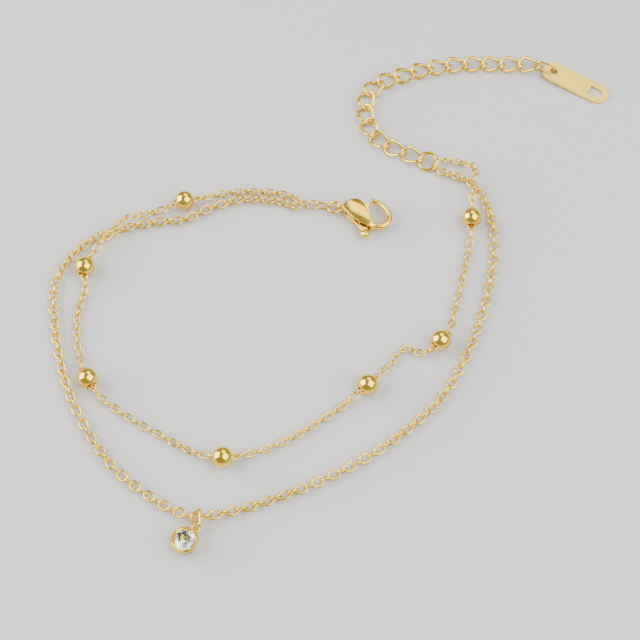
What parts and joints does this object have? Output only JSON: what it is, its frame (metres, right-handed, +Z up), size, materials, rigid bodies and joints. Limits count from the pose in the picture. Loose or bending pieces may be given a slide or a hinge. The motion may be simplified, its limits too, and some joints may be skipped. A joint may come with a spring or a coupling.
{
  "type": "layered anklet",
  "caption": "Layered anklet lying open: a beaded fine chain and a plain chain with a small stone pendant, lobster clasp, extender chain and end tag.",
  "frame": {"origin": "centre of the footprint of the whole anklet as it lies, on the surface it lies on", "axes": "+X along the longest extent, towards the extender's end tag; +Z up from the surface"},
  "size_m": [0.1297, 0.0718, 0.0038],
  "materials": {
    "polished_gold": "polished",
    "satin_gold": "satin",
    "clear_stone": "clear, cut"
  },
  "bodies": {
    "anklet": {"clasp_body": "polished_gold", "clasp_ring": "polished_gold", "clasp_link": "polished_gold", "join_link_1": "polished_gold", "join_link_2": "polished_gold", "plain_chain": "polished_gold", "beaded_chain_1": "polished_gold", "beaded_chain_2": "polished_gold", "beaded_chain_3": "polished_gold", "beaded_chain_4": "polished_gold", "beaded_chain_5": "polished_gold", "beaded_chain_6": "polished_gold", "beaded_chain_7": "polished_gold", "beaded_chain_8": "polished_gold", "bead_1": "polished_gold", "bead_2": "polished_gold", "bead_3": "polished_gold", "bead_4": "polished_gold", "bead_5": "polished_gold", "bead_6": "polished_gold", "bead_7": "polished_gold", "plain_end_link": "polished_gold", "beaded_end_link": "polished_gold", "connector_ring": "polished_gold", "extender_link_01": "polished_gold", "extender_link_02": "polished_gold", "extender_link_03": "polished_gold", "extender_link_04": "polished_gold", "extender_link_05": "polished_gold", "extender_link_06": "polished_gold", "extender_link_07": "polished_gold", "extender_link_08": "polished_gold", "extender_link_09": "polished_gold", "extender_link_10": "polished_gold", "extender_link_11": "polished_gold", "extender_link_12": "polished_gold", "extender_link_13": "polished_gold", "extender_link_14": "polished_gold", "extender_link_15": "polished_gold", "extender_link_16": "polished_gold", "tag_link": "polished_gold", "pendant_ring": "polished_gold", "pendant_setting": "polished_gold", "end_tag": "satin_gold", "pendant_stone": "clear_stone"},
    "lever": {"clasp_lever": "polished_gold"}
  },
  "joints": [
    {"name": "clasp_lever", "type": "hinge", "parent": "anklet", "child": "lever", "pos_m": [0.00557, 0.00139, 0.00145], "axis": [0, 0, -1], "range_deg": [0, 20], "stiffness_Nm_per_rad": 0.004, "springref_deg": -8.59}
  ]
}
